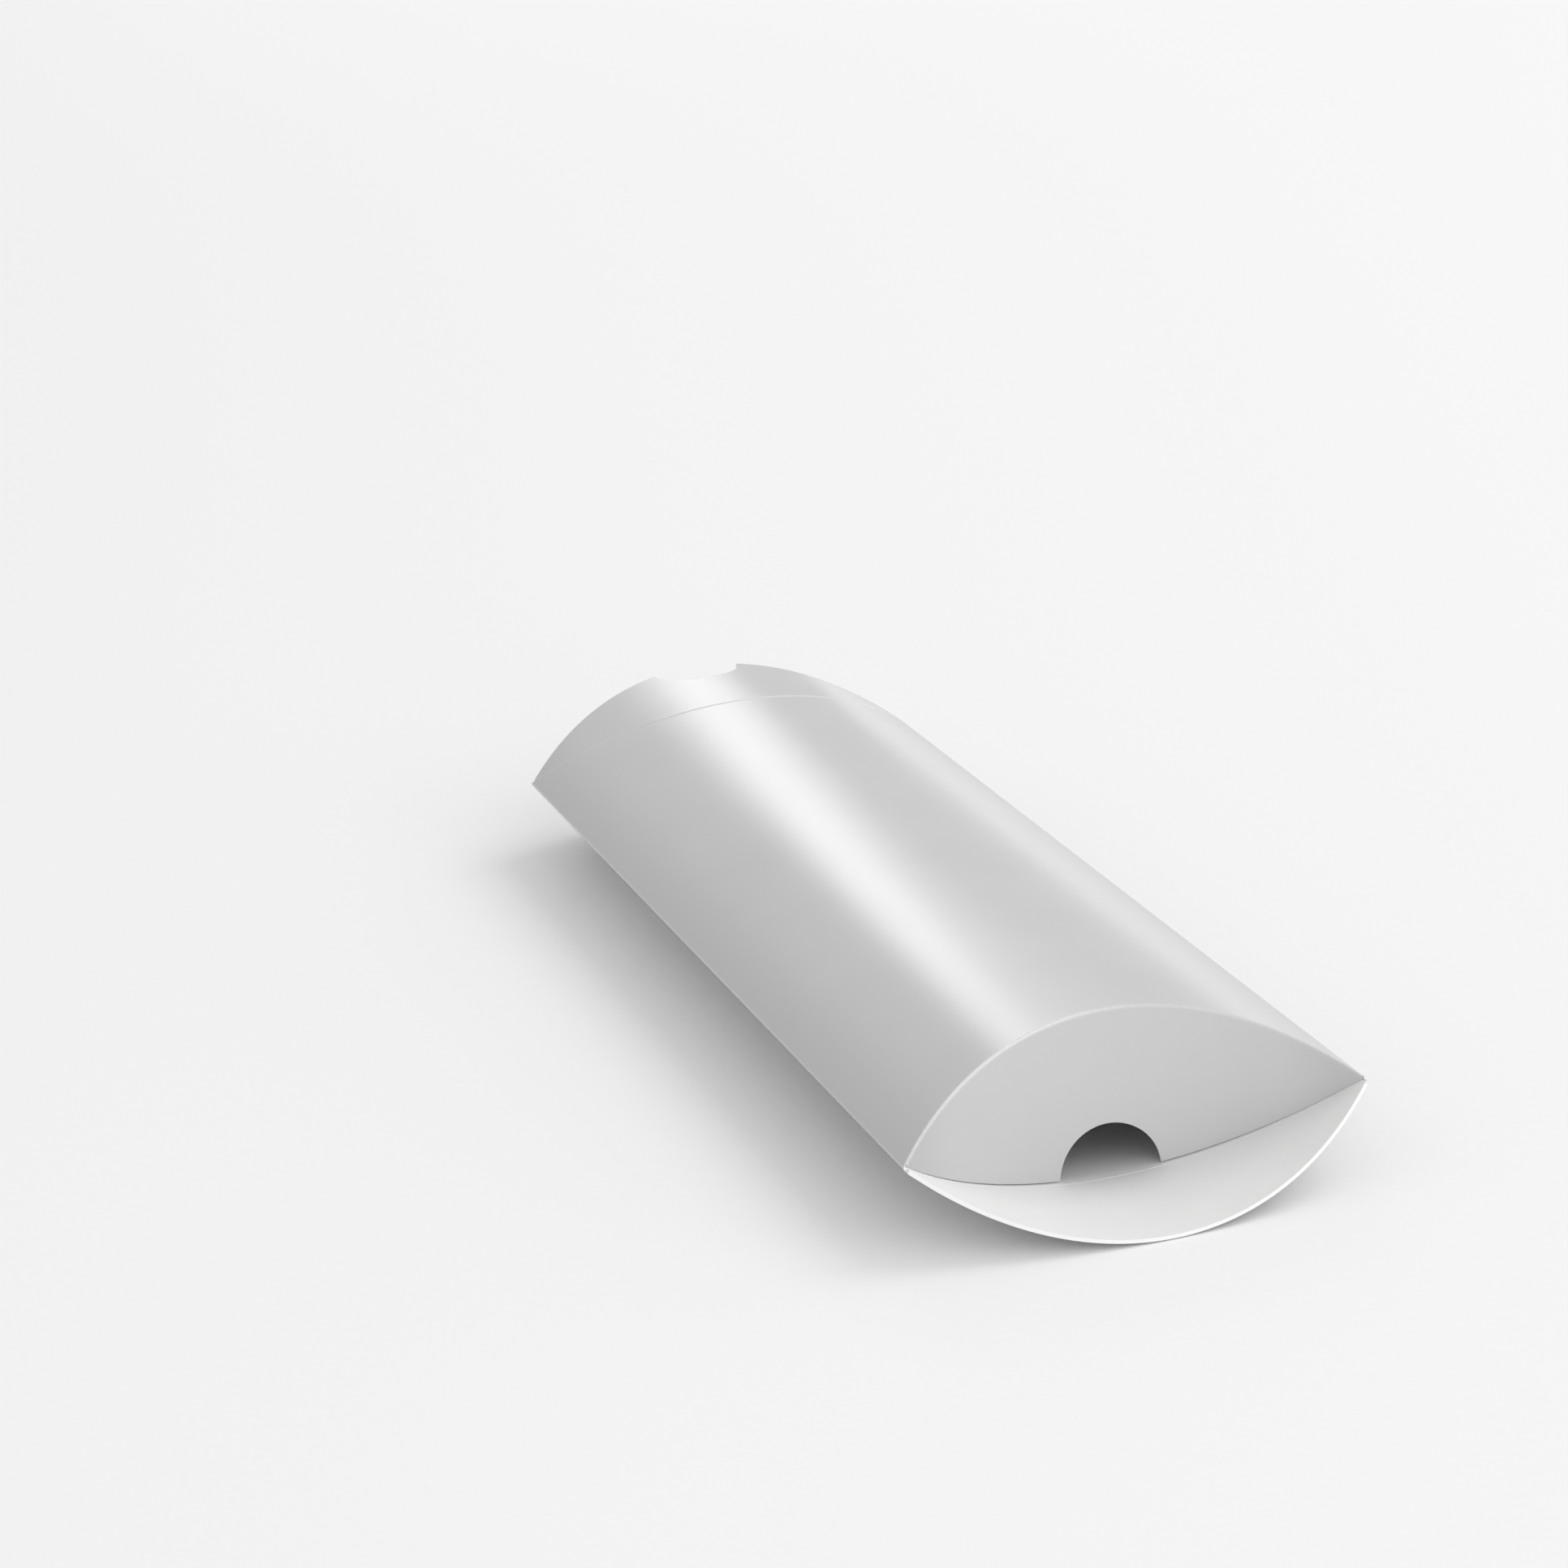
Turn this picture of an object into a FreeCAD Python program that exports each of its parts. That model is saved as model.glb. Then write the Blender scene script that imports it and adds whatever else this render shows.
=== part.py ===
# Pillow box: one curved sleeve of folding board, closed at each end by two lens-shaped flaps.
# Millimetres. X across the box, Y along it with the closed end at -Y, Z up from the lowest line of the belly.

import FreeCAD, Part
import math
import os

from FreeCAD import Vector

# Sizes that are chosen
width = 76.0            # between the two side folds, before they are rounded
length = 216.5          # between the end corners
height = 28.2           # belly to back, outside
board = 0.6             # thickness of the board
crease_depth = 14.1     # how far the middle of an inner flap's crease lies inside the end corners
plain_reach = 11.8      # how far an unfolded outer flap stands out past the end corners
fold_radius = 0.6       # outside of a side fold
notch_radius = 8.4      # thumb notch in the free edge of the inner flaps
tab_width = 12.0        # glue tab, from the side fold to its free edge
tab_end = 7.0           # from an end corner to the glue tab, along the side fold
tab_slope = 0.7         # how fast the tab's ends run inward
glue_thickness = 0.1    # film of glue under the lapped panel
glue_margin = 1.6       # bare board between the glue and the edges of the tab

# Clearances
crease_gap = 0.25       # between a panel and its flap along the crease
flap_clearance = 0.5    # between the free edge of a closed inner flap and the opposite wall
lap_gap = 0.2           # between the inner and the outer flap of a closed end
tip_relief = 2.0        # cut off each sharp flap tip, from the side fold inward
seam_setback = 0.4      # from the rounded side fold to the cut edge of the lapped panel
seat_gap = 0.03         # between the glue or the tab and the board that it lies against

# The curved walls are parts of two cylinders along Y that cross at the side folds
middle = height / 2
radius = (width ** 2 / 4 + middle ** 2) / (2 * middle)
axis_drop = radius - middle
round_x = math.sqrt((radius - fold_radius) ** 2 - axis_drop ** 2)
side = round_x + fold_radius
inner = radius - board

# An inner flap folds in a slanted plane through the two end corners, and an outer flap closes in front of it
crease_span = math.hypot(crease_depth, middle)
fold_sine = 2 * crease_depth * middle / crease_span ** 2
edge_inset = (board + flap_clearance) / fold_sine
notched_reach = 2 * middle / fold_sine - crease_depth - edge_inset
outer_depth = crease_depth - board - lap_gap
half_length = length / 2
reach = half_length + max(notched_reach, plain_reach)


def box(x0, x1, y0, y1, z0, z1):
    return Part.makeBox(x1 - x0, y1 - y0, z1 - z0, Vector(x0, y0, z0))


def cylinder(r, axis_z):
    return Part.makeCylinder(r, 2 * reach, Vector(0, -reach, axis_z), Vector(0, 1, 0))


def prism(points_and_arcs, direction):
    face = Part.Face(Part.Wire(Part.__sortEdges__(points_and_arcs)))
    return face.extrude(direction)


def line(a, b):
    return Part.LineSegment(a, b).toShape()


def arc(a, b, c):
    return Part.Arc(a, b, c).toShape()


def upside_down(shape):
    return shape.mirror(Vector(0, 0, middle), Vector(0, 0, 1))


def other_end(shape):
    return shape.mirror(Vector(0, 0, 0), Vector(0, 1, 0))


# Lens section of the sleeve with rounded side folds
low_axis = middle - axis_drop
high_axis = middle + axis_drop
reach_ratio = radius / (radius - fold_radius)
touch_x = round_x * reach_ratio
touch_z = axis_drop * reach_ratio - axis_drop
start = -reach
top_left = Vector(-touch_x, start, middle + touch_z)
top_right = Vector(touch_x, start, middle + touch_z)
low_left = Vector(-touch_x, start, middle - touch_z)
low_right = Vector(touch_x, start, middle - touch_z)
outline = [
    arc(top_left, Vector(0, start, height), top_right),
    arc(top_right, Vector(side, start, middle), low_right),
    arc(low_right, Vector(0, start, 0), low_left),
    arc(low_left, Vector(-side, start, middle), top_left),
]
outside = prism(outline, Vector(0, 2 * reach, 0))
inside = cylinder(inner, low_axis).common(cylinder(inner, high_axis))
sleeve = outside.cut(inside)


# Crease at the near end of the back panel: an elliptic cylinder square to the crease plane,
# so that panel and flap are mitred and the flap can swing away from the panel
corner = Vector(0, -half_length, middle)


def crease_normal(depth):
    return Vector(0, -middle, depth) / math.hypot(depth, middle)


def crease(depth, inset):
    span = math.hypot(depth, middle)
    stretch = span / middle
    to_crown = Vector(0, depth, middle) / span
    normal = crease_normal(depth)
    base = corner - to_crown * (axis_drop * stretch + inset)
    turn = FreeCAD.Rotation(to_crown, Vector(1, 0, 0), normal, "XYZ")
    ellipse = Part.Ellipse(Vector(0, 0, 0), radius * stretch, radius)
    face = Part.Face(Part.Wire(ellipse.toShape()))
    face.Placement = FreeCAD.Placement(base - normal * length, turn)
    return face.extrude(normal * (2 * length))


# Panels between the end creases, the back one lapped over the glue tab at +X
back = sleeve.common(box(-width, side - seam_setback, -reach, reach, middle, 2 * height))
back_cut = crease(crease_depth, 0)
back = back.cut(back_cut).cut(other_end(back_cut))
belly = sleeve.common(box(-width, width, -reach, reach, -height, middle))
belly_cut = upside_down(crease(outer_depth, 0))
belly = belly.cut(belly_cut).cut(other_end(belly_cut))


# Flaps: the panel's own curve carried on past the crease, between the crease and a bowed free edge
def flap_sheet(outer_radius, depth, flap_reach, inset):
    wall = cylinder(outer_radius, low_axis).cut(cylinder(outer_radius - board, low_axis))
    tip = width / 2 - tip_relief
    wall = wall.common(box(-tip, tip, -reach, 0, middle, 2 * height))
    left = Vector(-width / 2, inset - half_length, 0)
    right = Vector(width / 2, inset - half_length, 0)
    left_back = Vector(-width / 2, 0, 0)
    right_back = Vector(width / 2, 0, 0)
    plan = [
        arc(left, Vector(0, -half_length - flap_reach, 0), right),
        line(right, right_back),
        line(right_back, left_back),
        line(left_back, left),
    ]
    sheet = wall.common(prism(plan, Vector(0, 0, 2 * height)))
    return sheet.common(crease(depth, crease_gap))


def notched_sheet(outer_radius):
    sheet = flap_sheet(outer_radius, crease_depth, notched_reach, edge_inset)
    middle_of_edge = Vector(0, -half_length - notched_reach, -height)
    return sheet.cut(Part.makeCylinder(notch_radius, 4 * height, middle_of_edge))


open_notched = notched_sheet(radius)
open_plain = flap_sheet(radius, outer_depth, plain_reach, 0)
folded_in = notched_sheet(radius + board).mirror(corner, crease_normal(crease_depth))


# Glue tab: turned in from the belly at the +X fold, against the inside of the back panel
film_outer = inner - seat_gap
film_inner = film_outer - glue_thickness
tab_outer = film_inner - seat_gap
tab_edge = width / 2 - tab_width


def tab_plan(margin):
    fold_y = half_length - tab_end - margin
    edge_y = fold_y - tab_slope * tab_width
    x0 = tab_edge + margin
    x1 = width / 2
    corners = [Vector(x0, -edge_y, 0), Vector(x1, -fold_y, 0), Vector(x1, fold_y, 0), Vector(x0, edge_y, 0)]
    edges = [line(corners[i], corners[(i + 1) % 4]) for i in range(4)]
    return prism(edges, Vector(0, 0, height))


tab = cylinder(tab_outer, low_axis).cut(cylinder(tab_outer - board, low_axis))
tab = tab.common(tab_plan(0)).common(cylinder(inner - seat_gap, high_axis))

film = cylinder(film_outer, low_axis).cut(cylinder(film_inner, low_axis))
film_end = box(0, side - seam_setback - 2 * glue_margin, -reach, reach, middle, height)
film = film.common(tab_plan(glue_margin)).common(film_end)

nodes = {
    "top_panel": back,
    "bottom_panel": belly,
    "glue_tab": tab,
    "glue_line": film,
    "near_notched_flap": folded_in,
    "near_plain_flap": upside_down(open_plain),
    "far_notched_flap": other_end(open_notched),
    "far_plain_flap": other_end(upside_down(open_plain)),
}

os.makedirs("parts", exist_ok=True)
for name, shape in nodes.items():
    solid = shape.removeSplitter()
    solid.exportStep("parts/" + name + ".step")
    size = solid.BoundBox
    print(name, len(solid.Solids), "solid", round(solid.Volume, 1), "mm3",
          [round(v, 2) for v in (size.XMin, size.YMin, size.ZMin, size.XMax, size.YMax, size.ZMax)])
print("wall radius", round(radius, 2), "reach of the flaps", round(notched_reach, 2), plain_reach)
print("crease crowns at y", round(crease_depth - half_length, 2), round(outer_depth - half_length, 2))
swing = 180 - 2 * math.degrees(math.atan2(crease_depth, middle))
print("an inner flap swings", round(swing, 2), "degrees")
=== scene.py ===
# %% [markdown]
# # A pillow box, folded from one sheet of board
# A pillow box is a flat blank of folding board with two bowed walls, a glued seam along one side,
# and two curved flaps at each end. Pressing the sides together makes the walls spring into curves,
# and those curves lock the ends. The solid parts come first, because they fix the size and the
# hinges. Each piece is then made again with the detail that board has: real thickness, cut edges,
# scored folds and a satin coating.

import math

import bmesh
import bpy
from mathutils import Matrix, Vector


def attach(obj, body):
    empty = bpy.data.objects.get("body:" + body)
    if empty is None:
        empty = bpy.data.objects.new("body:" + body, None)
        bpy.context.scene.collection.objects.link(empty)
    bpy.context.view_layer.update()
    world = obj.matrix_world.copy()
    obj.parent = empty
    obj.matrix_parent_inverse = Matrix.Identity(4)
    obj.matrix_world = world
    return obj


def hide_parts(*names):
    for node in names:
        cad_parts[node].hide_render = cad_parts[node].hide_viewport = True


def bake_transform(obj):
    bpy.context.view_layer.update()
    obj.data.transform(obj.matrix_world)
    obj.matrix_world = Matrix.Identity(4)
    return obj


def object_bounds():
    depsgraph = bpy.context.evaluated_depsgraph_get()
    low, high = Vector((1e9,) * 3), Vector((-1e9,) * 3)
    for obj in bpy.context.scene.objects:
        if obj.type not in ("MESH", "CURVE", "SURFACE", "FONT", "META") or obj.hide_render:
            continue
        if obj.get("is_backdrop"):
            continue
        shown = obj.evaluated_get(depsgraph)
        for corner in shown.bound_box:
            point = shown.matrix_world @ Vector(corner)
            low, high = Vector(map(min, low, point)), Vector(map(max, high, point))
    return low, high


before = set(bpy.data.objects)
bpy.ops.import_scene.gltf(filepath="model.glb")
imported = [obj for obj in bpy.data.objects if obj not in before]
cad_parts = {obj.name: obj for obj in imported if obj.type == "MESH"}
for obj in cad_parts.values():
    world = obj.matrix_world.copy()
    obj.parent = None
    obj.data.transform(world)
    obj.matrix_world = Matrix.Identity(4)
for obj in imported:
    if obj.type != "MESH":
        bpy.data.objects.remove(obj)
cad_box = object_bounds()
print("solid parts:", ", ".join(sorted(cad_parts)))

# %% [markdown]
# ## Sizes
# The box was measured as a maker would, in millimetres. Blender works in metres, so one factor
# turns them over. Only what the maker chooses is written here. Each wall is a part of a cylinder
# whose axis runs along Y, so its radius and the height of its axis follow from the width and the
# height of the box. They could be typed in too, but then one change would have to be made twice.

# %% Sizes of the box
mm = 0.001
width = 76 * mm          # between the side folds, before they are rounded
length = 216.5 * mm      # between the end corners
height = 28.2 * mm       # from belly to back
board = 0.6 * mm         # thickness
inner_depth = 14.1 * mm  # from the end corners in to the middle of a crease on the back
outer_depth = 13.3 * mm  # the same on the belly
fold_radius = 0.6 * mm   # outside of a side fold

middle = height / 2
half_length = length / 2
radius = (width ** 2 / 4 + middle ** 2) / (2 * middle)
axis_drop = radius - middle
axis_z = middle - axis_drop
round_x = math.sqrt((radius - fold_radius) ** 2 - axis_drop ** 2)
side = round_x + fold_radius
print("wall radius", round(radius / mm, 2), "mm, side folds at x", round(side / mm, 2), "mm")

# %% [markdown]
# ## Camera
# The box is seen from in front, from above and a little from the left. A camera can be turned by
# three angles, but it is easier to understand as a place, a direction to look in, and a lean to
# one side. `to_track_quat` turns a direction into a rotation, and the lean is one more turn about
# the camera's own axis. The long lens keeps the two long folds nearly parallel, as in a product
# picture.

# %% Place the camera
camera_place = Vector((-0.23453, -0.72372, 0.28004))
camera_aim = Vector((0.27143, 0.91401, -0.30151))
camera_lean = -4.44
film_width = 36
long_lens = 107.3


def aimed(direction, lean):
    level = direction.to_track_quat("-Z", "Y").to_matrix()
    return (level @ Matrix.Rotation(math.radians(lean), 3, "Z")).to_euler()


camera = bpy.data.objects.new("camera", bpy.data.cameras.new("camera"))
camera.data.sensor_width = film_width
camera.data.lens = long_lens
camera.location = camera_place
camera.rotation_euler = aimed(camera_aim, camera_lean)
bpy.context.scene.collection.objects.link(camera)
bpy.context.scene.camera = camera
print("camera", [round(v, 3) for v in camera.location], "lens", camera.data.lens)

# %% [markdown]
# ## Light
# Silver-white board has almost no colour of its own, so the light draws its shape. A bare lamp
# would leave a hard spot in the coating, so each light is a softbox, a rectangle that glows.
# The front one lights the near end. It is very wide, so that its mirror image stays soft when the
# box is seen from behind. The right one gives the right side more light than the left. Behind the
# box a narrow strip is mirrored in the coating as one long streak, a second box widens that streak
# towards the near end, and a low one lightens the right edge.

# %% Hang the softboxes
def softbox(name, place, aim, size, power, lean=0):
    lamp = bpy.data.lights.new(name, "AREA")
    lamp.shape = "RECTANGLE"
    lamp.size, lamp.size_y = size
    lamp.energy = power
    holder = bpy.data.objects.new(name, lamp)
    holder.location = place
    holder.rotation_euler = aimed(Vector(aim) - Vector(place), lean)
    holder.visible_camera = False
    bpy.context.scene.collection.objects.link(holder)
    print(name, "is", round((Vector(place) - Vector(aim)).length, 2), "m away,", power, "W")


centre = (0, 0, middle)
softbox("front_softbox", (0.9, -2.3, 1.2), centre, (3.8, 2.4), 28.5)
softbox("right_softbox", (1.6, 0.2, 1.9), centre, (1.5, 1.5), 13)
softbox("streak_strip", (0.325, 1.83, 0.77), centre, (0.18, 0.85), 1.02, lean=-29)
softbox("glow_softbox", (0.53, 1.67, 0.9), centre, (0.95, 0.32), 0.74)
softbox("low_softbox", (1.22, 2.15, 0.03), centre, (0.6, 0.1), 0.32)

# %% [markdown]
# ## The room
# A pale room fills the shadows from all sides. It could be built from white walls, but a world of
# one colour does the same and renders faster. The Standard view transform leaves white paper white,
# where the filmic ones would turn it grey.

# %% Fill the room
room_light = 0.66

world = bpy.data.worlds.new("pale_room")
world.use_nodes = True
sky = world.node_tree.nodes["Background"]
sky.inputs["Color"].default_value = (1, 1, 1, 1)
sky.inputs["Strength"].default_value = room_light
bpy.context.scene.world = world
bpy.context.scene.view_settings.view_transform = "Standard"
print("room light", room_light)

# %% [markdown]
# ## Shader formulas
# A finish is a small formula: some noise, a distance, a mix. Adding nodes one by one hides that
# formula, so this class wraps one socket and lets Python's own signs add the Math nodes. `node`
# adds any other node: its settings go in first, because they decide which sockets it has, and then
# `feed` gives each socket a number or a link.

# %% A socket that can be used in sums
def feed(made, sockets):
    for key, value in sockets.items():
        if isinstance(value, Wire):
            value.tree.links.new(value.socket, made.inputs[key])
        else:
            made.inputs[key].default_value = value


class Wire:
    def __init__(self, tree, socket):
        self.tree = tree
        self.socket = socket

    def node(self, kind, settings=None, sockets=None, out=0):
        made = self.tree.nodes.new(kind)
        for name, value in (settings or {}).items():
            setattr(made, name, value)
        feed(made, sockets or {})
        return Wire(self.tree, made.outputs[out])

    def maths(self, operation, a, b=0.0):
        return self.node("ShaderNodeMath", {"operation": operation}, {0: a, 1: b})

    def __add__(self, other):
        return self.maths("ADD", self, other)

    def __sub__(self, other):
        return self.maths("SUBTRACT", self, other)

    def __rsub__(self, other):
        return self.maths("SUBTRACT", other, self)

    def __mul__(self, other):
        return self.maths("MULTIPLY", self, other)

    __radd__ = __add__
    __rmul__ = __mul__

    def __abs__(self):
        return self.maths("ABSOLUTE", self)


print("signs that add nodes: + - * and abs()")

# %% [markdown]
# ## Noise and distances
# Every board finish needs the same few measures. Noise is asked for by the size of its grains in
# metres, which is easier to judge than a scale. `edge_of` is a soft step: 1 at zero distance and 0
# beyond a given reach. All of them read Object coordinates, which here are the box's own
# coordinates, so a pattern stays in place on each piece. Generated coordinates would stretch it to
# the size of the piece.

# %% Measures that the finishes share
def new_finish(name):
    finish = bpy.data.materials.new(name)
    finish.use_nodes = True
    tree = finish.node_tree
    place = Wire(tree, tree.nodes.new("ShaderNodeTexCoord").outputs["Object"])
    return finish, tree.nodes["Principled BSDF"], place


def grain(place, size, detail=2.0, stretch=(1, 1, 1)):
    spot = place.node("ShaderNodeMapping", None, {"Vector": place, "Scale": stretch})
    noise = {"Vector": spot, "Scale": 1 / size, "Detail": detail}
    return place.node("ShaderNodeTexNoise", None, noise)


def edge_of(distance, reach):
    span = {"Value": distance, "From Min": 0.0, "From Max": reach, "To Min": 1.0, "To Max": 0.0}
    return distance.node("ShaderNodeMapRange", {"interpolation_type": "SMOOTHSTEP"}, span)


def along(place, axis):
    return place.node("ShaderNodeSeparateXYZ", None, {"Vector": place}, out=axis)


# A Mix node has sockets for every kind of value: these are the ones for colours.
mix_factor, mix_low, mix_high, mix_result = 0, 6, 7, 2


def blend_colours(factor, low, high):
    sockets = {mix_factor: factor, mix_low: low, mix_high: high}
    return factor.node("ShaderNodeMix", {"data_type": "RGBA"}, sockets, out=mix_result)


def bumped(height_map, distance, under=None):
    sockets = {"Height": height_map, "Distance": distance, "Strength": 1.0}
    if under is not None:
        sockets["Normal"] = under
    return height_map.node("ShaderNodeBump", None, sockets)


print("noise, steps, mixes and bumps ready")

# %% [markdown]
# ## The coated outside
# The outside of the board has a satin silver-white coating. It is not a mirror: a strip of light
# spreads into a soft streak, and slow waves in the board make that streak wander. Where the board
# is scored there is a shallow groove, and the coating is stretched and turns paler. Towards one
# pair of opposite corners that pale line is painted stronger: this part is a painted highlight, the
# crease catching the light. Along the side folds the coating is a little worn on the fold, and
# beside each fold it is painted darker, as painted shade. All this could be painted, but every
# crease lies in a flat, slanted plane through the end corners, so the distance to it is a short
# formula that stays sharp at any size.

# %% Satin coating
score_width = 0.6 * mm
groove_width = 0.3 * mm
worn_width = 0.5 * mm
# How far from each side fold the coating is painted darker, as painted shade.
painted_shade_width = 12 * mm
# Spread over which the painted highlight on the creases fades from one pair of corners to the
# other.
highlight_spread = 10 * mm * half_length
wave_height = 0.3 * mm
fibre_height = 0.006 * mm

silver_low, silver_high = (0.58, 0.58, 0.582, 1), (0.63, 0.63, 0.632, 1)
# The grey of the painted shade beside the side folds.
painted_shade_grey = (0.4, 0.4, 0.4, 1)
# White of stretched coating, also used for the painted highlight on the creases.
stretched_and_highlight_white = (0.95, 0.95, 0.945, 1)


def coated_face(name, depth):
    finish, shader, place = new_finish(name)
    x, y, z = [along(place, axis) for axis in "XYZ"]
    slope = depth / middle
    from_end = abs(y) - half_length
    from_middle = abs(z - middle)
    crease_distance = abs((from_end + from_middle * slope) * (1 / math.hypot(1, slope)))
    side_distance = abs(side - abs(x))

    fibres = grain(place, 0.35 * mm, 3.0, (1, 0.3, 1))
    cloud = grain(place, 26 * mm, 3.0)
    waves = grain(place, 75 * mm, 1.0, (1, 0.8, 1))

    # Painted highlight: the pale crease line is made stronger towards one pair of opposite corners.
    highlight_half = 1 - edge_of(x * y + highlight_spread, 2 * highlight_spread)
    score = edge_of(crease_distance, score_width) * (0.3 + 0.6 * fibres)
    # The pale score line is partly real whitening of the coating and partly painted highlight.
    whitened_score_and_highlight = score * (0.15 + 0.85 * highlight_half)
    worn_side = edge_of(side_distance, worn_width) * (0.08 * cloud)
    # Painted shade: the coating is darkened beside each side fold, where the light falls off.
    painted_side_shade = edge_of(side_distance, painted_shade_width) * (0.26 + 0.24 * cloud)
    groove = edge_of(crease_distance, groove_width)

    tone = blend_colours(cloud, silver_low, silver_high)
    tone = blend_colours(painted_side_shade, tone, painted_shade_grey)
    feed(shader, {
        "Base Color": blend_colours(whitened_score_and_highlight + worn_side, tone, stretched_and_highlight_white),
        "Metallic": 0.12,
        "Roughness": 0.215 + 0.04 * cloud + 0.01 * fibres,
        "IOR": 1.5,
        "Normal": bumped(fibres, fibre_height, bumped(waves - 0.15 * groove, wave_height)),
    })
    return finish


back_coat = coated_face("back_coat", inner_depth)
belly_coat = coated_face("belly_coat", outer_depth)
print("a coated face has", len(back_coat.node_tree.nodes), "nodes")

# %% [markdown]
# ## The uncoated inside
# The inside is bare board: whiter than the coating, matt, and a little cloudy where the fibres lie
# closer together. A few darker flecks are usual in carton board. They could be scattered as small
# discs, but noise with a soft step costs one node and never repeats. They are kept faint.

# %% Bare board
bare_low, bare_high = (0.83, 0.83, 0.825, 1), (0.88, 0.88, 0.875, 1)
fleck_brown = (0.62, 0.61, 0.59, 1)
fleck_step = 0.25
fleck_strength = 0.25


def bare_board():
    finish, shader, place = new_finish("bare_board")
    fibres = grain(place, 0.5 * mm, 4.0, (1, 0.35, 1))
    cloud = grain(place, 9 * mm, 4.0)
    flecks = edge_of(grain(place, 0.7 * mm, 0.0), fleck_step)
    tone = blend_colours(cloud, bare_low, bare_high)
    feed(shader, {
        "Base Color": blend_colours(flecks * fleck_strength, tone, fleck_brown),
        "Roughness": 0.74 + 0.16 * fibres,
        "IOR": 1.42,
        "Normal": bumped(fibres, 0.012 * mm),
    })
    return finish


bare = bare_board()
print("bare board has", len(bare.node_tree.nodes), "nodes")

# %% [markdown]
# ## The cut edge
# A die cuts the board, and the cut shows its layers: white fibre in several plies. A pattern on X,
# Y or Z would run across the bowed edge at an angle. So each piece stores how deep a point lies in
# the board, from 0 at the inside to 1 at the outside, and the finish turns that number into thin
# bands that follow the edge.

# %% White cut edge
core_low, core_high = (0.93, 0.93, 0.925, 1), (0.98, 0.98, 0.975, 1)
plies = 4.0
ply_wander = 0.8
attribute_value = 2


def cut_edge():
    finish, shader, place = new_finish("cut_edge")
    ply = place.node("ShaderNodeAttribute", {"attribute_name": "ply"}, out=attribute_value)
    fibres = grain(place, 0.18 * mm, 3.0)
    bands = place.maths("PINGPONG", ply * plies + fibres * ply_wander, 1.0)
    feed(shader, {
        "Base Color": blend_colours(bands, core_low, core_high),
        "Roughness": 0.82 + 0.12 * fibres,
        "IOR": 1.4,
        "Normal": bumped(bands + fibres, 0.004 * mm),
    })
    return finish


core = cut_edge()
print("the cut edge has", len(core.node_tree.nodes), "nodes")

# %% [markdown]
# ## Floor
# The box lies on a wide sheet of pale paper. A plain white plane would do, but the tooth of paper
# breaks up the soft shadow a little. The sheet lies a hair below the box, so that the two never
# share one plane.

# %% Lay the paper floor
paper_low, paper_high = (0.95, 0.95, 0.95, 1), (0.98, 0.98, 0.98, 1)
floor_half = 6
floor_drop = 0.15 * mm


def floor_paper():
    finish, shader, place = new_finish("floor_paper")
    tooth = grain(place, 1.2 * mm, 3.0)
    feed(shader, {
        "Base Color": blend_colours(tooth, paper_low, paper_high),
        "Roughness": 0.8 + 0.1 * tooth,
        "Specular IOR Level": 0.1,
    })
    return finish


floor_mesh = bmesh.new()
bmesh.ops.create_grid(floor_mesh, x_segments=2, y_segments=2, size=floor_half)
bmesh.ops.translate(floor_mesh, verts=floor_mesh.verts, vec=(0, 0, -floor_drop))
floor_data = bpy.data.meshes.new("floor")
floor_mesh.to_mesh(floor_data)
floor_mesh.free()
floor_data.materials.append(floor_paper())
floor = bpy.data.objects.new("floor", floor_data)
bpy.context.scene.collection.objects.link(floor)
floor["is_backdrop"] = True
print("floor", [round(v, 1) for v in floor.dimensions])

# %% [markdown]
# ## From a sheet to board
# Every wall and flap starts as a sheet without thickness, and these helpers turn it into board.
# A Solidify modifier could do a part of it, but here each face also has to know whether it is
# coated, bare or cut. `face_up` makes the sheet's normals agree. `thicken` gives it thickness on
# the side away from them and sorts the faces. `mitre` draws the inside edge back from a crease, as
# the board is crushed there when it folds. `soften` rounds the cut edges a little, because a
# perfectly sharp edge never catches the light. It leaves alone what is folded and not cut, and
# merges the points that a bevel puts on top of each other.

# %% Turn a sheet into board
coat_slot, bare_slot, core_slot = 0, 1, 2
edge_round = 0.06 * mm
stray_gap = 0.0003 * mm


def face_up(bm, up=True):
    bmesh.ops.recalc_face_normals(bm, faces=bm.faces)
    if (sum(f.normal.z for f in bm.faces) > 0) != up:
        bmesh.ops.reverse_faces(bm, faces=bm.faces)


def thicken(bm):
    outside = bm.faces[:]
    bmesh.ops.solidify(bm, geom=outside, thickness=board)
    outside = set(outside)
    for face in bm.faces:
        on_rim = any(f in outside for e in face.edges for f in e.link_faces)
        face.material_index = coat_slot if face in outside else core_slot if on_rim else bare_slot


def mitre(bm, on_crease, step):
    outside = {v for f in bm.faces if f.material_index == coat_slot for v in f.verts}
    rim = [e.other_vert(v) for v in outside if on_crease(v.co) for e in v.link_edges]
    bmesh.ops.translate(bm, verts=[v for v in set(rim) if v not in outside], vec=step)


def soften(bm, keep_sharp=lambda co: False):
    edges = []
    for edge in bm.edges:
        kinds = {f.material_index for f in edge.link_faces}
        is_cut = len(kinds) == 2 and core_slot in kinds
        if is_cut and not all(keep_sharp(v.co) for v in edge.verts):
            edges.append(edge)
    bmesh.ops.bevel(bm, geom=edges, offset=edge_round, offset_type="OFFSET", segments=2,
                    profile=0.5, affect="EDGES", material=-1, clamp_overlap=True)
    bmesh.ops.remove_doubles(bm, verts=bm.verts, dist=stray_gap)


print("board is", board / mm, "mm thick, its cut edges are rounded by", edge_round / mm, "mm")

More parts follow.
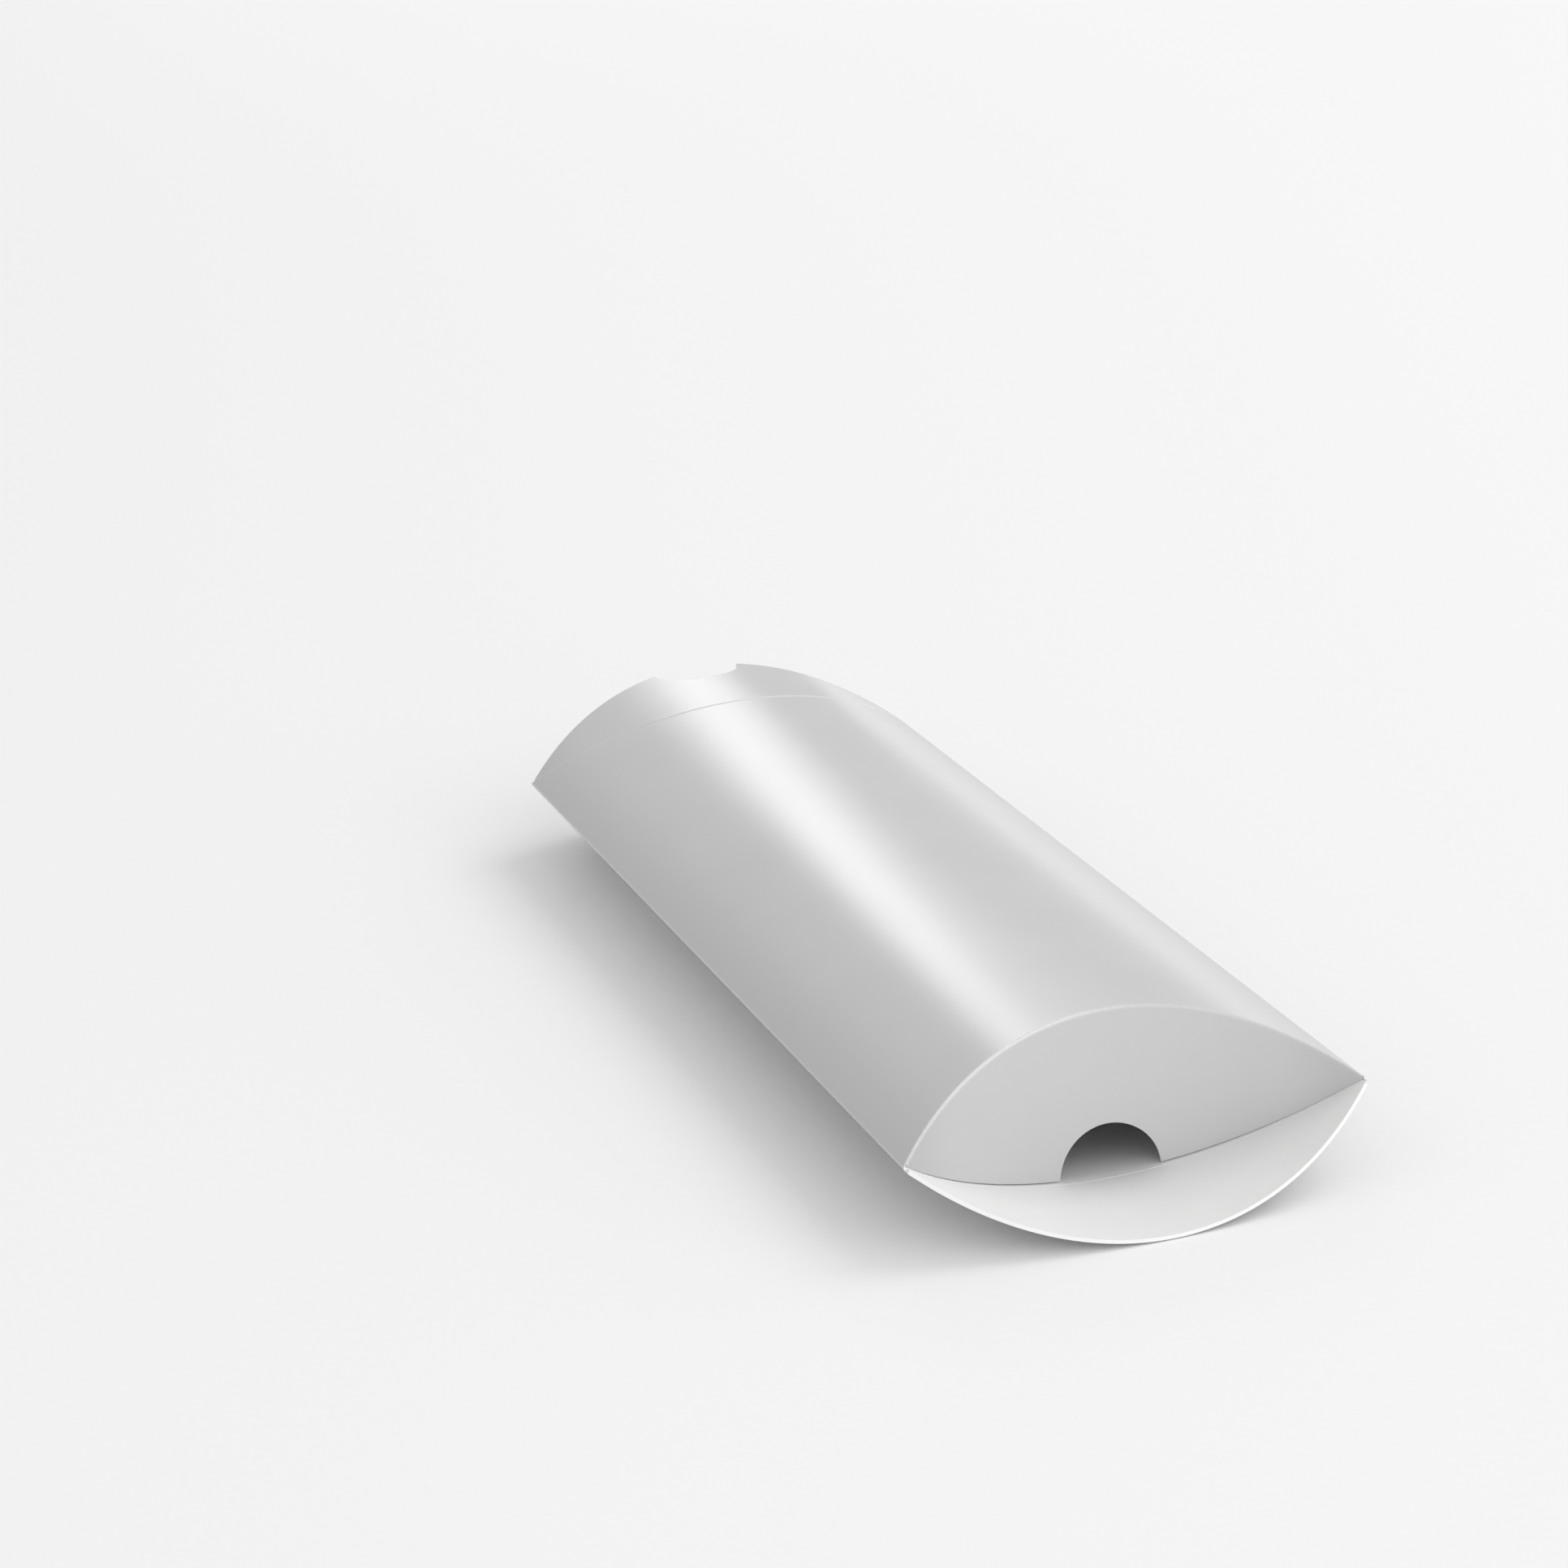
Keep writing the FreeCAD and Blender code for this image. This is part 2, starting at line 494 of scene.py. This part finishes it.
# %% [markdown]
# ## Finishing a piece
# A piece ends as an object with its finishes in three slots: coated, bare and cut. `mark_plies`
# stores the depth in the board that the cut edge needs. Smooth shading follows the bowed walls, and
# edges that turn by more than the given angle stay crisp.

# %% Make the object
crisp_angle = math.radians(20)


def mark_plies(bm, from_radius):
    ply = bm.verts.layers.float.new("ply")
    for v in bm.verts:
        v[ply] = (math.hypot(v.co.x, v.co.z - axis_z) - from_radius) / board


def finish_piece(bm, name, finishes):
    mesh = bpy.data.meshes.new(name)
    bm.to_mesh(mesh)
    bm.free()
    for finish in finishes:
        mesh.materials.append(finish)
    mesh.shade_smooth()
    mesh.set_sharp_from_angle(angle=crisp_angle)
    piece = bpy.data.objects.new(name, mesh)
    bpy.context.scene.collection.objects.link(piece)
    low = [round(min(v.co[i] for v in mesh.vertices) / mm, 2) for i in range(3)]
    high = [round(max(v.co[i] for v in mesh.vertices) / mm, 2) for i in range(3)]
    print(name, len(mesh.polygons), "faces from", low, "to", high, "mm")
    return piece


print("edges stay crisp from", round(math.degrees(crisp_angle)), "degrees")

# %% [markdown]
# ## Near and far, back and belly
# The box is the same at both ends and nearly the same on both faces. Each piece is made once, for
# the near end of the back, and then turned: half a turn about the long axis brings it to the belly,
# half a turn about the upright axis brings it to the far end. Mirroring would do as well, but it
# turns a mesh inside out, and turning never does.

# %% Turn a piece to its place
def turned(end, face):
    lift = Matrix.Translation((0, 0, middle))
    over = lift @ Matrix.Rotation(math.pi, 4, "Y") @ lift.inverted()
    about = Matrix.Rotation(math.pi, 4, "Z")
    return (about if end == "far" else Matrix()) @ (over if face == "belly" else Matrix())


crown = Vector((0, 0, height))
print("turned to the belly, the crown is at z", round((turned("near", "belly") @ crown).z, 4))

# %% [markdown]
# ## The crease planes
# A plane cut of a cylinder is an ellipse, and that is the curve a scored crease has when the wall
# bows. Each crease therefore has one plane, through the two end corners and the middle of the
# crease. Board is whole across a crease, but wall and flap move against each other, so each is
# trimmed by a hair, and by more where the flap lies folded. The bare side is drawn back further.

# %% Planes, trims and a test for points on a plane
folded_trim = 0.3 * mm
open_trim = 0.05 * mm
draw_back = {folded_trim: board, open_trim: 0.05 * mm}


def crease_plane(depth, trim):
    normal = Vector((0, -middle, depth)).normalized()
    return Vector((0, depth - half_length + trim, height)), normal


def near_plane(plane, reach):
    point, normal = plane
    return lambda co: abs((co - point).dot(normal)) < reach


for depth in (inner_depth, outer_depth):
    lean = math.degrees(math.atan2(depth, middle))
    print("a crease", round(depth / mm, 1), "mm deep leans by", round(lean, 1), "degrees")

# %% [markdown]
# ## The seam side of the belly
# At the seam the belly turns in and becomes the glue tab, so its edge there is a fold, coated and
# round, and not a cut. The belly is made upside down, so this side is at the left while it is made.
# The edge could be spun as one more arc, but a wide bevel of the board's own corner is simpler.

# %% Turn in the seam edge
close_gap = 0.002 * mm
hair = 0.01 * mm
seam_round = 0.4 * mm
facing_down = -0.9


def turn_in(bm):
    cuts = [f for f in bm.faces if f.material_index == core_slot and f.normal.z < facing_down]
    seam = [f for f in cuts if f.calc_center_median().x < -round_x]
    for face in seam:
        face.material_index = coat_slot
    rim = [e for f in seam for e in f.edges if all(v.co.x < hair - side for v in e.verts)]
    bmesh.ops.bevel(bm, geom=rim, offset=seam_round, offset_type="OFFSET", segments=5,
                    profile=0.5, affect="EDGES", material=-1)
    bmesh.ops.remove_doubles(bm, verts=bm.verts, dist=close_gap)
    print("turned in", len(seam), "seam faces along", len(rim), "edges")


print("the seam edge is rounded by", seam_round / mm, "mm")

# %% [markdown]
# ## Spinning a wall
# A wall is a sheet that springs into an arc between its two side folds. It could be a grid bent
# with a modifier, but spinning gives true arcs. One edge along the box is spun three times: round
# the left side fold, round the wall's own axis, and round the right side fold.

# %% Spin the sheet of a wall
long_axis = Vector((0, 1, 0))
fold_turn = math.atan2(axis_drop, round_x)
wall_turn = math.pi - 2 * fold_turn
fold_steps = 8
wall_steps = 112
spin_gap = 0.001 * mm


def spin(bm, geom, pivot, axis, angle, steps):
    made = bmesh.ops.spin(bm, geom=geom, cent=pivot, axis=axis, angle=angle, steps=steps,
                          use_merge=False, use_duplicate=False)
    return made["geom_last"]


def spun_wall():
    bm = bmesh.new()
    ends = [bm.verts.new((-side, y, middle)) for y in (-length, length)]
    geom = ends + [bm.edges.new(ends)]
    geom = spin(bm, geom, (-round_x, 0, middle), long_axis, fold_turn, fold_steps)
    geom = spin(bm, geom, (0, 0, axis_z), long_axis, wall_turn, wall_steps)
    spin(bm, geom, (round_x, 0, middle), long_axis, fold_turn, fold_steps)
    bmesh.ops.remove_doubles(bm, verts=bm.verts, dist=spin_gap)
    return bm


print("a wall bows through", round(math.degrees(wall_turn), 1), "degrees")

# %% [markdown]
# ## Cutting a wall
# Two slanted cuts make the bowed ends of the sheet. Booleans could make them too, but
# `bisect_plane` cuts the sheet cleanly and leaves no loose faces. The back wall also loses a sliver
# at the right, where its raw edge lies on the seam. Then the sheet becomes board. The edges at half
# height meet the other wall, so they are kept sharp.

# %% Cut the sheet and make it board
def wall(depth, near_trim, far_trim, raw_edge):
    bm = spun_wall()
    cuts = []
    for trim, flip in ((near_trim, 1), (far_trim, -1)):
        point, normal = crease_plane(depth, trim)
        cuts.append((Vector((0, flip * point.y, point.z)), Vector((0, flip * normal.y, normal.z))))
    if raw_edge is not None:
        cuts.append((Vector((raw_edge, 0, 0)), Vector((1, 0, 0))))
    for point, normal in cuts:
        geom = bm.verts[:] + bm.edges[:] + bm.faces[:]
        bmesh.ops.bisect_plane(bm, geom=geom, plane_co=point, plane_no=normal, clear_outer=True)

    face_up(bm)
    thicken(bm)
    for plane, trim, inward in zip(cuts, (near_trim, far_trim), (1, -1)):
        mitre(bm, near_plane(plane, close_gap), (0, inward * draw_back[trim], 0))
    bmesh.ops.remove_doubles(bm, verts=bm.verts, dist=close_gap)
    if raw_edge is None:
        turn_in(bm)
    soften(bm, lambda co: abs(co.z - middle) < hair)
    mark_plies(bm, radius - board)
    return bm


print("behind a folded flap the bare side is drawn back", draw_back[folded_trim] / mm, "mm")

# %% [markdown]
# ## The two walls
# The back is cut for a folded flap at the near end and an open one at the far end, and the belly
# for open flaps at both. The belly is then turned over. Both belong to the sleeve, which is the
# part that the flaps hinge on.

# %% Make the back and the belly
seam_setback = 0.4 * mm

back = wall(inner_depth, folded_trim, open_trim, side - seam_setback)
back_wall = finish_piece(back, "back_wall", [back_coat, bare, core])
belly = wall(outer_depth, open_trim, open_trim, None)
bmesh.ops.transform(belly, matrix=turned("near", "belly"), verts=belly.verts)
belly_wall = finish_piece(belly, "belly_wall", [belly_coat, bare, core])

for piece, node in ((back_wall, "top_panel"), (belly_wall, "bottom_panel")):
    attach(piece, "sleeve")
    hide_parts(node)

# %% [markdown]
# ## The two lines of a flap
# Seen from above, a flap is a lens: its crease is one bowed line and its free edge another, with a
# thumb notch in the middle of the inner flaps. It could be cut out of the wall with booleans, but
# they leave long thin faces, which shade badly. So the two lines are spun as arcs in plan. The
# crease starts as an arc of the wall's own radius and is squeezed into its ellipse.

# %% Draw a flap in plan
notched_reach = 13.0 * mm  # how far the inner flaps stand out past the end corners
plain_reach = 11.8 * mm    # the same for the outer flaps
edge_inset = 1.1 * mm      # how far the inner flaps' free edges start inside the corners
notch_radius = 8.4 * mm
inner_tip = 37.2 * mm      # half the width of a flap, just short of the side folds
outer_tip = 37.4 * mm
edge_steps = 26
notch_steps = 28

inner_open = (notched_reach, edge_inset, inner_tip, open_trim, notch_radius)
outer_open = (plain_reach, 0, outer_tip, open_trim, 0)


def spun_line(bm, start, turns):
    before = set(bm.edges)
    geom = [bm.verts.new(start)]
    for pivot, angle, steps in turns:
        geom = spin(bm, geom, pivot, (0, 0, 1), angle, steps)
    return [e for e in bm.edges if e not in before]


def crease_line(bm, depth, tip, trim):
    half = math.asin(tip / radius)
    inner_part = math.asin(tip / 3 / radius)
    outer_part = half - inner_part
    turns = [(Vector(), -outer_part, edge_steps), (Vector(), -2 * inner_part, notch_steps),
             (Vector(), -outer_part, edge_steps)]
    crease = spun_line(bm, (-tip, radius * math.cos(half), 0), turns)
    slide = Matrix.Translation((0, -half_length - axis_drop * depth / middle - trim, 0))
    squeeze = Matrix.Diagonal((1, depth / middle, 1, 1))
    bmesh.ops.transform(bm, matrix=slide @ squeeze, verts=bm.verts)
    return crease


def free_edge(bm, reach, inset, tip, notch):
    edge_radius = (width ** 2 / 4 + (reach + inset) ** 2) / (2 * (reach + inset))
    edge_centre = Vector((0, edge_radius - half_length - reach, 0))
    half = math.asin(tip / edge_radius)
    if notch:
        notch_centre = Vector((0, -half_length - reach, 0))
        corner = 2 * math.asin(notch / (2 * edge_radius))
        run = (edge_centre, half - corner, edge_steps)
        turns = [run, (notch_centre, corner - math.pi, notch_steps), run]
    else:
        turns = [(edge_centre, 2 * half, 2 * edge_steps + notch_steps)]
    return spun_line(bm, (-tip, edge_centre.y - edge_radius * math.cos(half), 0), turns)


print("each line of a flap has", 2 * edge_steps + notch_steps, "edges")

# %% [markdown]
# ## Filling a flap
# One face between the two lines could not bend. But the lines have the same number of edges, so
# they can be bridged into a strip and the strip divided into rows. Every point is then lifted onto
# the wall's cylinder. That is how the real flap gets its shape: it is cut flat, and the bowed wall
# carries its curve into it.

# %% Fill and lift a flap
flap_rows = 22


def lift_onto(bm, wall_radius):
    for v in bm.verts:
        v.co.z = axis_z + math.sqrt(wall_radius ** 2 - v.co.x ** 2)


def flap_plan(depth, reach, inset, tip, trim, notch):
    bm = bmesh.new()
    lines = crease_line(bm, depth, tip, trim) + free_edge(bm, reach, inset, tip, notch)
    bmesh.ops.bridge_loops(bm, edges=lines)
    lines = set(lines)
    rungs = [e for e in bm.edges if e not in lines]
    bmesh.ops.subdivide_edges(bm, edges=rungs, cuts=flap_rows, use_grid_fill=True)
    lift_onto(bm, radius)
    return bm


trial = flap_plan(inner_depth, *inner_open)
print("one flap plan has", len(trial.faces), "faces")
trial.free()

# %% [markdown]
# ## Folding a flap along a curve
# A curved crease cannot swing like a door: a rigid flap would tear off its wall. Board solves this
# by bending while it folds, and the folded flap is the mirror image of the open one in the crease's
# plane. A mirror image is the same as turning each point about the middle of the crease by twice
# its angle from that plane. So each point stores its share of the full turn, 0 on the crease and 1
# on the middle line.
# The bare side of the board has its own shares. They are chosen so that at the other end of the
# swing it lies just behind the coated side, because board never turns inside out.

# %% Fold shares
full_turn = math.pi / 2
least_out = 1e-7
least_behind = 0.08


def fold_share(co, depth, folded):
    swing = math.atan2(co.x, co.z - axis_z)
    lift = (math.hypot(co.x, co.z - axis_z) - radius) / math.cos(swing)
    drop = radius - math.sqrt(radius ** 2 - co.x ** 2)
    out = max(-co.y - (half_length - depth), least_out)
    arm = math.hypot(out, drop - lift)
    start = math.atan2(drop - lift, out)
    behind = abs(lift) * max(least_behind, 1 - (co.x / (width / 2)) ** 2)
    if folded:
        turn = 2 * math.atan2(middle, depth) - start - math.asin(min(1, (drop + behind) / arm))
    else:
        turn = math.acos(max(-1, min(1, (drop * depth / middle - behind) / arm))) - start
    return min(1, max(0, turn / full_turn))


for x in (0, width / 4):
    sample = Vector((x, -half_length, axis_z + math.sqrt(radius ** 2 - x ** 2)))
    share = fold_share(sample, inner_depth, False)
    print("at x", round(x / mm), "mm, level with the corners, the share is", round(share, 3))

# %% [markdown]
# ## Making a flap
# A flap is a plan that becomes board, like the walls. Its tips run into the side folds, so they are
# coated and not cut. The crease zone stays sharp, because there the board goes on into the wall.
# The near inner flap is modelled folded: it is mirrored, and its thickness lies on the other side
# so that the coated face still looks outwards.

# %% Make one flap
tip_zone = 0.1 * mm
crease_zone = 2 * mm


def flap(name, end, face, depth, plan, folded):
    bm = flap_plan(depth, *plan)
    tip, trim = plan[2:4]
    plane = crease_plane(depth, -trim)
    face_up(bm, not folded)
    thicken(bm)
    mitre(bm, near_plane(plane, close_gap), (0, -draw_back[trim], 0))
    for rim in bm.faces:
        if rim.material_index == core_slot and abs(rim.calc_center_median().x) > tip - tip_zone:
            rim.material_index = coat_slot
    soften(bm, near_plane(plane, crease_zone))
    mark_plies(bm, radius - (0 if folded else board))
    share = bm.verts.layers.float.new("fold_share")
    for v in bm.verts:
        v[share] = fold_share(v.co, depth, folded)
    if folded:
        point, normal = crease_plane(depth, 0)
        to_plane = Matrix.Translation(point)
        mirror = to_plane @ Matrix.Scale(-1, 4, normal) @ Matrix.Translation(-point)
        bmesh.ops.transform(bm, matrix=mirror, verts=bm.verts)
        bmesh.ops.reverse_faces(bm, faces=bm.faces)
    bmesh.ops.transform(bm, matrix=turned(end, face), verts=bm.verts)
    coat = back_coat if face == "back" else belly_coat
    return finish_piece(bm, name, [coat, bare, core])


print("each flap is sharp within", crease_zone / mm, "mm of its crease")

# %% [markdown]
# ## Four flaps
# The inner flaps have the thumb notch and reach a little less far at their tips, because they fold
# first and must clear the opposite wall. The outer flaps are plain. The folded flap is cut a little
# closer to the belly, so that hardly any gap shows. A flap could simply ride on its hinge, but then
# it would leave the wall.

# %% Make the flaps
closer = 0.2 * mm
inner_folded = (notched_reach + closer, edge_inset - closer, inner_tip, folded_trim, notch_radius)

flaps = {
    "near_notched": flap("near_inner_flap", "near", "back", inner_depth, inner_folded, True),
    "near_plain": flap("near_outer_flap", "near", "belly", outer_depth, outer_open, False),
    "far_notched": flap("far_inner_flap", "far", "back", inner_depth, inner_open, False),
    "far_plain": flap("far_outer_flap", "far", "belly", outer_depth, outer_open, False),
}
for body, piece in flaps.items():
    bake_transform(piece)
    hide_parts(body + "_flap")

# %% [markdown]
# ## Scored creases
# Before folding, a steel rule presses a line into the board. The pressed fibres stand up as a thin
# bead on the inside, and when the flap is folded that bead is the round edge that shows. A bead
# could be a bevel of wall and flap, but those two move apart. So it is a tube along the crease, set
# so that it touches both outer faces of the folded corner. Its path is one point spun round the
# wall's axis and slid into the slanted plane.

# %% Draw the path of a bead
bead_radius = 0.3 * mm
bead_steps = 120


def bead_path(depth):
    bm = bmesh.new()
    half = math.asin(inner_tip / radius)
    first = bm.verts.new((-inner_tip, 0, axis_z + radius * math.cos(half)))
    spin(bm, [first], (0, 0, axis_z), long_axis, 2 * half, bead_steps)
    for v in bm.verts:
        sunk = bead_radius * (radius / (v.co.z - axis_z))
        v.co.y = (v.co.z - middle) * depth / middle - half_length + sunk * middle / depth
        v.co.z -= sunk
    return bm


trial = bead_path(inner_depth)
print("the path of a bead has", len(trial.verts), "points")
trial.free()

# %% [markdown]
# ## The beads
# A ring could be swept along the path, but a curve with a round bevel does that by itself. The
# curve is made a mesh, and the side that looks into the box becomes bare board.

# %% Lay the crease beads
bead_smoothness = 3
facing_in = -0.25


def crease_bead(name, end, face, depth):
    path = bead_path(depth)
    curve = bpy.data.curves.new(name, "CURVE")
    curve.dimensions = "3D"
    curve.bevel_depth = bead_radius
    curve.bevel_resolution = bead_smoothness
    curve.use_fill_caps = True
    line = curve.splines.new("POLY")
    line.points.add(len(path.verts) - 1)
    for point, v in zip(line.points, path.verts):
        point.co = (*v.co, 1)
    path.free()

    rule = bpy.data.objects.new(name + "_rule", curve)
    tube = bmesh.new()
    tube.from_mesh(bpy.data.meshes.new_from_object(rule))
    bpy.data.objects.remove(rule)
    for strip in tube.faces:
        spot = strip.calc_center_median()
        outward = Vector((spot.x, 0, spot.z - axis_z)).normalized()
        strip.material_index = bare_slot if strip.normal.dot(outward) < facing_in else coat_slot
    bmesh.ops.transform(tube, matrix=turned(end, face), verts=tube.verts)
    return finish_piece(tube, name, [back_coat if face == "back" else belly_coat, bare])


for end in ("near", "far"):
    for face, depth in (("back", inner_depth), ("belly", outer_depth)):
        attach(crease_bead(end + "_" + face + "_crease", end, face, depth), "sleeve")

# %% [markdown]
# ## The glued seam
# Along the right fold a narrow tab turns in from the belly and is glued under the back wall. Its
# ends slope so that it doesn't catch in the creases. It could be cut from a wall, but it is small
# enough to grow from one edge along the fold: that edge is extruded to the free edge and drawn in
# there, and the strip is divided and lifted onto a cylinder just under the back wall.

# %% Turn in the tab
glue_gap = 0.16 * mm  # the film of glue and its seats
fold_x = 36.8 * mm
free_x = 26 * mm
tab_end = 7 * mm      # from an end corner to the tab, along the side fold
tab_slope = 0.7
tab_rows = 18


def seam_tab():
    bm = bmesh.new()
    tab_radius = radius - board - glue_gap
    fold_y = half_length - tab_end - tab_slope * (width / 2 - fold_x)
    fold = bm.edges.new([bm.verts.new((fold_x, y, 0)) for y in (-fold_y, fold_y)])
    free = bmesh.ops.extrude_edge_only(bm, edges=[fold])["geom"]
    free = [v for v in free if isinstance(v, bmesh.types.BMVert)]
    bmesh.ops.translate(bm, verts=free, vec=(free_x - fold_x, 0, 0))
    drawn_in = 1 - tab_slope * (fold_x - free_x) / fold_y
    bmesh.ops.scale(bm, verts=free, vec=(1, drawn_in, 1))
    across = [e for e in bm.edges if abs(e.verts[0].co.x - e.verts[1].co.x) > mm]
    bmesh.ops.subdivide_edges(bm, edges=across, cuts=tab_rows, use_grid_fill=True)
    lift_onto(bm, tab_radius)
    face_up(bm)
    thicken(bm)
    soften(bm)
    mark_plies(bm, tab_radius - board)
    return finish_piece(bm, "seam_tab", [belly_coat, bare, core])


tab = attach(seam_tab(), "sleeve")
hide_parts("glue_tab")

# %% [markdown]
# ## The line of glue
# A line of glue dries glossy and slightly yellow, in ridges left by the roller. It could be made
# again as a thin sheet, but the solid film has the right shape already. So it stays and only gets
# a finish: noise that is drawn out along the box.

# %% Dried glue
glue_low, glue_high = (0.78, 0.74, 0.62, 1), (0.88, 0.85, 0.76, 1)


def dried_glue():
    finish, shader, place = new_finish("dried_glue")
    ridges = grain(place, 2.2 * mm, 2.0, (1, 0.08, 1))
    feed(shader, {
        "Base Color": blend_colours(ridges, glue_low, glue_high),
        "Roughness": 0.16 + 0.2 * ridges,
        "Normal": bumped(ridges, 0.03 * mm),
    })
    return finish


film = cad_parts["glue_line"]
film.data.materials.clear()
film.data.materials.append(dried_glue())
print("the film of glue is", round(film.dimensions.y / mm, 1), "mm long")

# %% Compare the two boxes
boxes = {"cad": [list(v) for v in cad_box], "visual": [list(v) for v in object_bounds()]}
for kind, (low, high) in boxes.items():
    print(kind, "box in mm:", [round((b - a) / mm, 2) for a, b in zip(low, high)])
